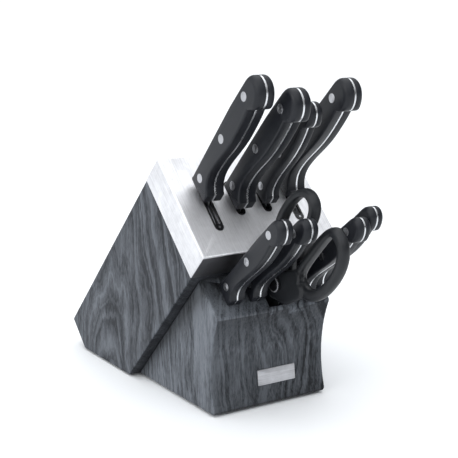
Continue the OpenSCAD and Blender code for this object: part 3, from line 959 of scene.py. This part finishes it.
def shears_blade(half):
    """A blade that is flat inside and hollowed towards its edge outside."""
    turn = HALVES[half][0]
    place = SHEARS @ turn
    node = f"shears_{half}_blade"
    low, high = in_frame(node, place)
    loop = smoothed(side_outline(node, place))
    mesh = bmesh.new()
    hub = clipped(loop, BLADE_ROOT - 0.5 * MM)
    stack(mesh, slab_levels(hub, low.x, high.x, 0.05 * MM, 0.25 * MM))
    levels = []
    for z in spaced_heights(loop, BLADE_ROOT):
        spine, edge = crossings(loop, z)
        depth = max(edge - spine, 0.3 * MM)
        thick = (high.x - low.x) * (1 - BLADE_THINNING * (z / low.z) ** 2)
        x = low.x
        shape = ((x, spine), (x + 0.85 * thick, spine), (x + thick, spine + 0.06 * depth),
                 (x + thick, spine + 0.5 * depth), (x + 0.4 * thick, spine + 0.9 * depth),
                 (x + 0.12 * thick, spine + depth), (x, spine + depth))
        levels.append([Vector((px, py, z)) for px, py in shape])
    stack(mesh, levels)
    piece = new_object(f"shears_{half}_steel", mesh, place, soft=math.radians(20))
    settle(piece, f"shears_{half}_half", BLADE_STEEL, node)


def shears_screw():
    """The pivot screw: a domed, slotted head with a notched rim in paler metal, a painted
    highlight on the rim.
    """
    low, high = in_frame("shears_pivot_screw", SHEARS)
    r = high.y
    base = low.x + SCREW_HEAD
    profile = [(low.x + 0.55 * MM, 0.02 * r), (low.x + 0.5 * MM, 0.35 * r),
               (low.x + 0.3 * MM, 0.72 * r), (low.x + 0.02 * MM, 0.8 * r),
               (low.x, 0.86 * r), (low.x + 0.1 * MM, 0.93 * r), (low.x + 0.45 * MM, r),
               (base - 0.1 * MM, r), (base, r - 0.1 * MM), (base + 0.01 * MM, SCREW_SHANK),
               (high.x - 0.3 * MM, SCREW_SHANK), (high.x, SCREW_SHANK - 0.3 * MM),
               (high.x + 0.001 * MM, 0.02 * r)]
    mesh = bmesh.new()
    lathe(mesh, profile, Matrix.Identity(4), count=4 * SCREW_NOTCHES)
    for vert in mesh.verts:
        on_rim = math.hypot(*vert.co.yz) > 0.83 * r and vert.co.x < low.x + 0.6 * MM
        if on_rim and math.cos(SCREW_NOTCHES * math.atan2(vert.co.z, vert.co.y)) < 0:
            vert.co.x += 0.35 * MM
    piece = new_object("shears_screw", mesh)
    slot = bmesh.new()
    bmesh.ops.create_cube(slot, size=1.0, matrix=(
        Matrix.Translation((low.x, 0, 0)) @ Matrix.Rotation(math.radians(25), 4, "X")
        @ Matrix.Diagonal((1.7 * MM, 1.1 * MM, 1.45 * r, 1))))
    combine(piece, new_object("slot_cutter", slot), "DIFFERENCE")
    piece.data.transform(SHEARS)
    settle(piece, "shears_rear_half", [SCREW_DARK, SCREW_RIM_HIGHLIGHT],
           "shears_pivot_screw")
    # painted highlight: the rim's front faces get the paler metal
    for face in piece.data.polygons:
        centre = SHEARS.inverted() @ face.center
        on_rim = 0.84 * r < math.hypot(*centre.yz) < 0.97 * r
        face.material_index = 1 if on_rim and centre.x < low.x + 0.5 * MM else 0


# ---- Making it ---------------------------------------------------------------

rear_wood()
front_wood()
steel_cap()
label_plate()
for index in range(1, 5):
    dress(f"slot_liner_{index}", LINER_BLACK, 0.15 * MM)
for side in ("left", "right"):
    dress(f"sharpener_{side}", STRIP_STEEL, 0.05 * MM)
dress("sharpener_pins", RIVET_STEEL, 0.2 * MM)
dress("joining_dowels", WOOD_DOWEL, 0.4 * MM)
dress("rubber_feet", FOOT_RUBBER, 0.35 * MM)
dress("shears_pivot_nut", SCREW_DARK, 0.3 * MM)
for name in LARGE_KNIVES:
    knife(name, LARGE_RIM)
for name in SMALL_KNIVES:
    knife(name, SMALL_RIM)
for half in HALVES:
    shears_handle(half)
    shears_blade(half)
shears_screw()


# ---- Stage, light and camera -------------------------------------------------

def floor():
    """A wide pale floor."""
    mesh = bmesh.new()
    bmesh.ops.create_grid(mesh, x_segments=1, y_segments=1, size=30)
    piece = new_object("floor", mesh)
    s = Shader("floor", Roughness=0.7, Specular_IOR_Level=0.2)
    shade = s.noise(s.coordinates(), 3, 2, 0.5)
    s.set("Base Color", s.mix(shade, (0.90, 0.91, 0.925), (0.92, 0.93, 0.94)))
    piece.data.materials.append(s.material)


def softbox(name, place, target, width, power):
    """A square area light aimed at a point."""
    data = bpy.data.lights.new(name, "AREA")
    data.size = width
    data.energy = power
    light = bpy.data.objects.new(name, data)
    light.location = place
    aim = Vector(target) - Vector(place)
    light.rotation_euler = aim.to_track_quat("-Z", "Y").to_euler()
    bpy.context.scene.collection.objects.link(light)


def surroundings():
    """A white backdrop; light comes from a bright wall at the left and the ceiling."""
    world = bpy.data.worlds.new("studio")
    bpy.context.scene.world = world
    world.use_nodes = True
    tree = world.node_tree
    tree.nodes.clear()
    ray = add_node(tree, "TexCoord").outputs["Generated"]
    lobes = [
        # where it shines from, the cosines between which it rises, and its strength
        ((-1.0, -0.1, 0.15), 0.1, 0.85, 1.3),  # the wall at the left
        ((0.35, -0.25, 0.9), 0.35, 0.85, 1.9),  # the ceiling
        ((1.0, -0.3, 0.0), 0.42, 0.75, -1.4),  # the dark right side of the room
        ((0.1, 1.0, 0.2), 0.1, 0.9, 0.35),  # the rear wall
    ]
    level = 0.0
    for direction, low, high, strength in lobes:
        aim = Vector(direction).normalized()
        dot = add_node(tree, "VectorMath", {0: ray, 1: aim}, operation="DOT_PRODUCT")
        lobe = add_node(
            tree, "MapRange",
            {"Value": dot.outputs["Value"], "From Min": low, "From Max": high,
             "To Min": 0.0, "To Max": strength},
            interpolation_type="SMOOTHSTEP",
        )
        level = add_node(
            tree, "Math", {0: lobe.outputs[0], 1: level}, operation="ADD"
        ).outputs[0]
    level = add_node(tree, "Math", {0: level, 1: 0.10}, operation="MAXIMUM").outputs[0]
    studio = add_node(
        tree, "Background", {"Color": (0.96, 0.98, 1.0, 1), "Strength": level}
    )
    backdrop = add_node(
        tree, "Background", {"Color": (1.0, 1.0, 1.0, 1), "Strength": 1.0}
    )
    seen = add_node(tree, "LightPath").outputs["Is Camera Ray"]
    shown = add_node(
        tree, "MixShader", {0: seen, 1: studio.outputs[0], 2: backdrop.outputs[0]}
    )
    add_node(tree, "OutputWorld", {0: shown.outputs[0]})


def camera():
    """The photograph's view: a long lens from the front left, a little above."""
    azimuth, elevation = math.radians(-32.64), math.radians(12.16)
    distance = 0.956
    aim = Vector((0.0331, 0.0417, 0.1127))
    back = Vector((
        math.sin(azimuth) * math.cos(elevation),
        -math.cos(azimuth) * math.cos(elevation),
        math.sin(elevation),
    ))
    data = bpy.data.cameras.new("camera")
    data.sensor_width = 36
    data.lens = 90.4
    view = bpy.data.objects.new("camera", data)
    view.location = aim + back * distance
    view.rotation_euler = (-back).to_track_quat("-Z", "Y").to_euler()
    bpy.context.scene.collection.objects.link(view)
    bpy.context.scene.camera = view


floor()
surroundings()
softbox("key", place=(-1.3, -0.3, 1.0), target=(0, 0, 0.12), width=0.8, power=4)
softbox("top", place=(0.0, 0.3, 1.5), target=(0, 0, 0.1), width=1.2, power=2)
camera()
bpy.context.scene.view_settings.view_transform = "Standard"
